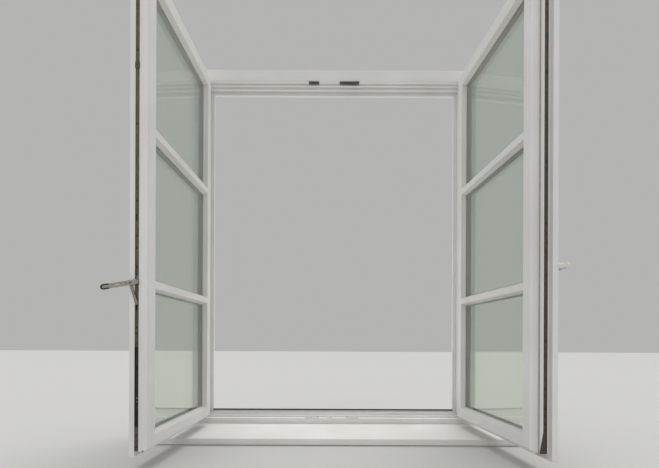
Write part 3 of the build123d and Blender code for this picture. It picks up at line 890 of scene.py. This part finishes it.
@dataclass
class LeverWork:
    """Rivets of the rebate lever and the notched link below it."""

    drawing: LeafDrawing
    lever_z: float = 551.0
    droop: float = 9.0  # degrees below level
    face: float = 5.8  # lever's face over the timber edge
    rivets: tuple[Pair, ...] = ((18.0, 3.1), (28.0, 2.0), (12.0, 1.5))
    dome: float = 0.9  # height of a rivet's head
    sunk: float = 0.3  # head's rim below the lever's face
    link_low: float = 0.4  # link's faces over the timber edge
    link_high: float = 2.8
    link_half: float = 4.5
    ease: float = 0.3  # rounding of the link's long edges
    reach: float = 18.0  # link's pin from the lever's pivot
    drop: float = 62.0  # link's foot below it
    pin: float = 1.85
    notch: float = 1.1
    notch_pitch: float = 8.0
    tip: float = 0.05  # blade's ends short of its round tips
    flat: float = 0.93  # blade's share between its eased edges
    overlap: float = 0.5  # of the pins in the blade
    clear: Pair = (9.0, 7.0)  # unnotched at the pin and the foot
    fade: float = 3.0  # over which the notches set in
    # flat rivet head, as the folded lever passes over it: each ring's radius and height
    foot: tuple[Pair, ...] = (
        (0.05, 0.25), (1.5, 0.22), (2.5, 0.15), (2.9, 0.05), (2.9, -0.2))

    def on_lever(self, reach: float) -> np.ndarray:
        """Way across the groove, and height, of a point on the lever's middle line."""
        angle = math.radians(self.droop)
        return np.array([-reach * math.cos(angle), self.lever_z - reach * math.sin(angle)])

    def disc(self, mesh: Mesh, centre: np.ndarray, radii: Sequence[float],
             levels: Sequence[float]) -> None:
        """Add a turned part that stands out of the leaf's edge.

        Args:
            mesh: mesh to add it to.
            centre: its way across the groove, and its height.
            radii: radius of each ring.
            levels: height of each ring over the timber edge.
        """
        t = round_angles(24)
        r, h = np.array(radii)[:, None], np.array(levels)[:, None]
        self.drawing.on_edge(mesh, h, centre[0] + r * np.cos(t), centre[1] + r * np.sin(t))

    def blade(self, mesh: Mesh, start: np.ndarray, end: np.ndarray) -> None:
        """Add the link's strip, a section carried along the line from pin to foot.

        Its half width is that of round ends, less a raised cosine at every notch.

        Args:
            mesh: mesh to add it to.
            start: the pin, across the groove and in height.
            end: the foot.
        """
        length = float(np.hypot(*(end - start)))
        way, half = (end - start) / length, self.link_half
        s = np.linspace(self.tip - half, length + half - self.tip, 120)
        from_end = np.minimum(np.minimum(s + half, length + half - s), half)
        wide = np.sqrt(half ** 2 - (half - from_end) ** 2)
        at_pin, at_foot = self.clear
        gate = (np.clip((s - at_pin) / self.fade, 0, 1)
                * np.clip((length - at_foot - s) / self.fade, 0, 1))
        wide -= self.notch * gate * (0.5 - 0.5 * np.cos(2 * math.pi * s / self.notch_pitch))
        low, high, ease, flat = self.link_low, self.link_high, self.ease, self.flat
        section = np.array([
            (1, low + ease), (1, high - ease), (flat, high), (-flat, high),
            (-1, high - ease), (-1, low + ease), (-flat, low), (flat, low)])
        across = wide[:, None] * section[None, :, 0]
        self.drawing.on_edge(
            mesh, section[None, :, 1], start[0] + s[:, None] * way[0] - across * way[1],
            start[1] + s[:, None] * way[1] + across * way[0])

    def build(self, metal: Material, dark: Material) -> None:
        """Make the rivets, and the link in place of its CAD node.

        A rivet's head is a part of an ellipse turned round its axis.

        Args:
            metal: finish of the link.
            dark: finish of the rivets.
        """
        heads, link = Mesh(), Mesh()
        for reach, radius in self.rivets:
            r = np.array([CENTRE, 0.4, 0.75, 0.95, 1.0])
            levels = self.face - self.sunk + self.dome * np.sqrt(1 - (r * 0.98) ** 2)
            self.disc(heads, self.on_lever(reach), radius * r, levels)
        heads.make("left_lever_rivets", "left_rebate_lever", dark, "galvanised_steel")
        start, end = self.on_lever(self.reach), np.array([0.0, self.lever_z - self.drop])
        low, high = self.link_low, self.link_high
        self.blade(link, start, end)
        self.disc(link, start, [self.pin] * 2, [high - self.overlap, self.face - 0.1])
        self.disc(link, end, [self.pin] * 2, [-0.2, low + self.overlap])
        radii, levels = np.transpose(self.foot)
        self.disc(link, end, radii, high + levels)
        piece = link.make("left_notched_link", "left_lever_link", metal, "galvanised_steel")
        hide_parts("left_lever_link")


@dataclass
class HingeCaps:
    """Turned caps on both ends of every hinge knuckle: a low dome on a short skirt, as
    the radius of each ring, of the whole, and its height."""

    drawing: LeafDrawing
    levels: tuple[float, ...] = (289.5, 1262.5)  # middles of the hinges
    knuckle: float = 42.3  # end of a knuckle from there
    radius: float = 7.25
    turned: tuple[Pair, ...] = (
        (CENTRE, 2.2), (0.35, 2.05), (0.65, 1.6), (0.85, 1.0), (0.97, 0.45), (1.0, 0.1),
        (1.0, -3.0))

    def build(self, enamel: Material) -> None:
        """Make the caps of the leaf's upper knuckles and of the frame's lower ones.

        Args:
            enamel: finish of the caps.
        """
        d, t = self.drawing, round_angles(28)
        shares, heights = np.transpose(self.turned)
        r, h = self.radius * shares[:, None], heights[:, None]
        ring = np.stack(np.broadcast_arrays(r * np.cos(t), r * np.sin(t), h), -1)
        axis = np.array([d.axis_x / MM, d.axis_y, 0.0])
        for way, body, word in ((1.0, d.body, "leaf"), (-1.0, "frame", "frame")):
            mesh = Mesh()
            for level in self.levels:
                cap = ring * (1.0, 1.0, way) + axis + (0.0, 0.0, level + way * self.knuckle)
                mesh.grid(d.place(cap))
            mesh.make(f"{d.side.value}_{word}_hinge_caps", body, enamel, "hinge_steel")


@dataclass
class Leaf:
    """One leaf: its glazing, seal, screws and hinge caps, and the finishes of its
    timber and gear."""

    drawing: LeafDrawing
    screw_heights: tuple[float, ...]

    def build(self, made: dict[str, Material]) -> None:
        """Dress the leaf.

        Args:
            made: the materials by short name.
        """
        d, side = self.drawing, self.drawing.side.value
        for level, light in zip(Level, d.lights()):
            GlazingUnit(d, level, light).build(made["glass"], made["spacer"], made["sealant"])
        GlazingJoints(d).build(made["putty"])
        Gasket(d).build(made["light_rubber"])
        EdgeScrews(d, self.screw_heights).build(made["dark_zinc_and_rod_shade"])
        HingeCaps(d).build(made["enamel"])
        mine = [name for name in frame["nodes"] if name.startswith(side)]
        for ends, finish in (
                (("stile",), "upright"), (("rail", "bar", "beads"), "inward"),
                (("gear", "rod", "cam"), "zinc"), (("lever", "link", "roller"), "lever_zinc")):
            assign([name for name in mine if name.endswith(ends)], made[finish])


@dataclass
class LeftIronwork:
    """Ironwork that only the left leaf has: its lower rod and the bare groove it lies in, both
    darkened as painted shade, a plate cleat, and the lever with its link."""

    drawing: LeafDrawing
    rod_rivets: tuple[float, ...] = (203.5, 213.5)
    rod_sunk: float = 2.9  # rod's face behind the timber edge
    rivet: CrossScrew = CrossScrew(1.9, 0.5, 0.4, 0.4, 1.2)
    cleats: tuple[float, ...] = (1180.0,)

    def build(self, made: dict[str, Material]) -> None:
        """Fit it.

        Args:
            made: the materials by short name.
        """
        d, rod = self.drawing, "left_lower_rod"
        # painted shade: the dark skin in the groove and the blackened rod stand in for the shade
        # of the deep groove
        GrooveShade(d).build(made["groove_shade_skin"])
        assign([rod], made["dark_zinc_and_rod_shade"])
        EdgeScrews(d, self.rod_rivets, self.rod_sunk, self.rivet, "rod_rivets",
                   rod).build(made["bright_zinc"])
        PlateCleats(d, self.cleats).build(made["zinc"], made["dark_zinc_and_rod_shade"])
        LeverWork(d).build(made["bright_zinc"], made["zinc"])
        assign(["left_lever_cap"], made["black_plastic"])


@dataclass
class FixedFrame:
    """Finishes of the frame's timber, board, rail, keeps and hinges, and of the right
    leaf's handle."""

    nodes: dict[str, tuple[str, ...]]  # short name of a finish to its nodes

    def build(self, made: dict[str, Material]) -> None:
        """Put every finish on its node.

        Args:
            made: the materials by short name.
        """
        for finish, names in self.nodes.items():
            assign(names, made[finish])
        assign([name for name in frame["nodes"] if name.endswith("hinge")], made["enamel"])


@dataclass
class KeepScrews:
    """Pan-head cross-recess screws of the keeps and the run-up block, in place of the
    plain CAD ones: shank, head and recess."""

    screw: CrossScrew = CrossScrew(3.5, 0.5, 1.2, 0.7, 2.0)
    lip: float = 1.1  # height of the head's rim
    shank: float = 2.0
    reach: float = 16.0  # length of the shank
    inset: float = 5.5  # from the ends and the back of a keep's base
    base: float = 2.0  # thickness of a keep's base
    block_sunk: float = 1.2  # seat below the top of the run-up block

    def form(self) -> np.ndarray:
        """Turn the whole screw, from its head to its tip.

        Returns:
            Array of rings by spokes by (x, y, height over the seat), in mm.
        """
        top, thin = self.screw.head()[:-1], self.shank / self.screw.radius
        below = [top[-1:] * (share, share, 0) - (0, 0, depth) for share, depth in (
            (1, self.lip), (thin, self.lip), (thin, self.reach))]
        return np.concatenate([top, *below]) + (0, 0, self.lip)

    def places(self) -> list[tuple[float, float, float, float]]:
        """Find where the CAD screws sit: a fixed inset from each end of a keep's base.

        Returns:
            X, Y and height of each seat in metres, and the way its head points.
        """
        found, inset, base = [], self.inset * MM, self.base * MM
        for member, way in (("head", -1.0), ("sill", 1.0)):
            for side in Side:
                low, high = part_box(f"{member}_keep_{side.value}")
                seat = low[2] + base if way > 0 else high[2] - base
                found += [(x, high[1] - inset, seat, way)
                          for x in (low[0] + inset, high[0] - inset)]
        low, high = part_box("run_up_block")
        found.append(((low[0] + high[0]) / 2, (low[1] + high[1]) / 2,
                      high[2] - self.block_sunk * MM, 1.0))
        return found

    def build(self, metal: Material) -> None:
        """Make a screw at each place that the CAD screws hold.

        Args:
            metal: finish of the screws.
        """
        mesh, form = Mesh(), self.form() * MM
        for x, y, seat, way in self.places():
            mesh.grid(form * (1, 1, way) + (x, y, seat))
        piece = mesh.make("keep_cross_screws", "frame", metal, "galvanised_steel")
        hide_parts("keep_screws")


@dataclass(frozen=True)
class SoftLamp:
    """Soft lamp that the camera and the glass don't see: a far one that shines at the
    window, or a panel that shines straight up."""

    name: str
    place: Triple  # of a far one: its direction from the window
    strength: float
    spread: float = 0.0  # width of a far one, in degrees
    panel: Optional[Pair] = None  # width and depth of a panel
    mirrored: bool = False  # seen in glossy surfaces

    def build(self) -> None:
        """Hang the lamp and turn it the way it shines."""
        data = bpy.data.lights.new(self.name, "AREA" if self.panel else "SUN")
        lamp = bpy.data.objects.new(self.name, data)
        data.energy, lamp.location = self.strength, self.place
        if self.panel:
            data.shape, (data.size, data.size_y) = "RECTANGLE", self.panel
            lamp.rotation_euler = (math.pi, 0.0, 0.0)
        else:
            data.angle = math.radians(self.spread)
            lamp.rotation_euler = (-lamp.location).to_track_quat("-Z", "Y").to_euler()
        lamp.visible_camera = lamp.visible_transmission = False
        lamp.visible_glossy = self.mirrored
        bpy.context.scene.collection.objects.link(lamp)


@dataclass
class Studio:
    """Pale floor, backdrop and soft lamps round the window."""

    floor: str = "#C2C1BE"
    floor_roughness: float = 0.9
    half_width: float = 12.0
    drop: float = 0.001  # floor below the window's foot
    backdrop: str = "#F4F5F3"
    room_light: float = 0.52  # from the room's side
    outside_light: float = 0.80  # from beyond the window
    turn: Pair = (-0.9, 0.25)  # Y of the direction between the two
    seen: float = 0.50  # of the background where it is seen or mirrored
    lamps: tuple[SoftLamp, ...] = (
        SoftLamp("key", (0.2, 1.0, 2.0), 1.6, 40.0),
        SoftLamp("fill", (-0.2, -1.0, 0.9), 0.5, 70.0, mirrored=True),
        # on the ground beyond the window, for light from below under the head
        SoftLamp("ground_bounce", (0.0, 0.6, 0.02), 5.0, panel=(1.8, 0.9)))

    def build(self) -> None:
        """Lay the floor, light the world and hang the lamps."""
        self.sky()
        self.ground()
        for lamp in self.lamps:
            lamp.build()
        log.info("made the studio")

    def ground(self) -> None:
        """Lay the floor."""
        size = self.half_width
        mesh = bpy.data.meshes.new("floor")
        mesh.from_pydata([
            (-size, -size, 0), (size, -size, 0), (size, size, 0), (-size, size, 0)], [],
            [(0, 1, 2, 3)])
        floor = bpy.data.objects.new("floor", mesh)
        floor.location.z = -self.drop
        bpy.context.scene.collection.objects.link(floor)
        paint = bpy.data.materials.new("floor_paint")
        paint.use_nodes = True
        inputs = paint.node_tree.nodes["Principled BSDF"].inputs
        inputs["Base Color"].default_value = linear(self.floor)
        inputs["Roughness"].default_value = self.floor_roughness
        mesh.materials.append(paint)

    def sky(self) -> None:
        """World light, stronger from outside, and a plain background where it is seen."""
        world = bpy.data.worlds.new("studio")
        bpy.context.scene.world = world
        world.use_nodes = True
        tree = world.node_tree
        tree.nodes.clear()
        path = add_node(tree, "ShaderNodeLightPath").outputs
        seen = path["Is Camera Ray"]
        for ray in ("Is Glossy Ray", "Is Transmission Ray"):
            seen = add_node(tree, "ShaderNodeMath", {
                0: seen, 1: path[ray]}, operation="MAXIMUM").outputs[0]
        way = add_node(tree, "ShaderNodeTexCoord")
        parts = add_node(tree, "ShaderNodeSeparateXYZ", {0: way.outputs["Generated"]})
        start, end = self.turn
        light = add_node(tree, "ShaderNodeMapRange", {
            "Value": parts.outputs["Y"], "From Min": start, "From Max": end,
            "To Min": self.room_light, "To Max": self.outside_light})
        strength = add_node(tree, "ShaderNodeMapRange", {
            "Value": seen, "To Min": light.outputs[0], "To Max": self.seen})
        back = add_node(tree, "ShaderNodeBackground", {
            "Color": linear(self.backdrop), "Strength": strength.outputs[0]})
        add_node(tree, "ShaderNodeOutputWorld", {"Surface": back.outputs[0]})


@dataclass(frozen=True)
class View:
    """Camera that sees the window as the photograph does, level with a shifted frame."""

    place: Triple = (-0.0163, -1.773, 0.384)
    image_width: float = 659.0
    image_height: float = 468.0
    focal_px: float = 402.2
    horizon_row: float = 340.3
    roll: float = 0.004
    sensor_mm: float = 36.0
    clip: Pair = (0.05, 60.0)

    def build(self) -> None:
        """Make the camera and set it as the scene's."""
        data = bpy.data.cameras.new("camera")
        data.sensor_width = self.sensor_mm
        data.lens = self.focal_px / self.image_width * self.sensor_mm
        data.shift_y = (self.horizon_row - self.image_height / 2) / self.image_width
        data.clip_start, data.clip_end = self.clip
        camera = bpy.data.objects.new("camera", data)
        camera.location = self.place
        camera.rotation_euler = (math.radians(90), -self.roll, 0.0)
        bpy.context.scene.collection.objects.link(camera)
        bpy.context.scene.camera = camera
        log.info("made the camera")


def main() -> None:
    """Dress the window and set up the studio."""
    logging.basicConfig(level=logging.INFO, format="%(message)s")
    bpy.context.scene.view_settings.view_transform = "Standard"
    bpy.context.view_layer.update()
    made = make_finishes()
    left = LeafDrawing(Side.LEFT, edge=-12.0, tongue=5.0, face_meet=46.0)
    right = LeafDrawing(Side.RIGHT, edge=0.0, tongue=-9.0, face_meet=38.0)
    Leaf(left, (785.0, 685.0, 650.0, 594.0, 418.0, 402.0, 1010.0, 1224.0, 1455.0, 105.0,
                72.0)).build(made)
    Leaf(right, (1156.0, 722.0, 384.0, 1420.0, 247.0, 190.0, 168.0, 145.0, 900.0)).build(made)
    FixedFrame({
        "across": ("frame_head", "frame_sill"),
        "upright": ("frame_jamb_left", "frame_jamb_right"),
        "board": ("window_board",), "aluminium": ("weather_rail",),
        "black_rubber": ("weather_rail_seal",),
        "grey_zinc": ("head_keep_left", "head_keep_right"),
        "enamel": ("sill_keep_left", "sill_keep_right", "run_up_block", "right_handle",
                   "right_handle_rose")}).build(made)
    LeftIronwork(left).build(made)
    KeepScrews().build(made["bright_zinc"])
    Studio().build()
    View().build()


if __name__ == "__main__":
    main()
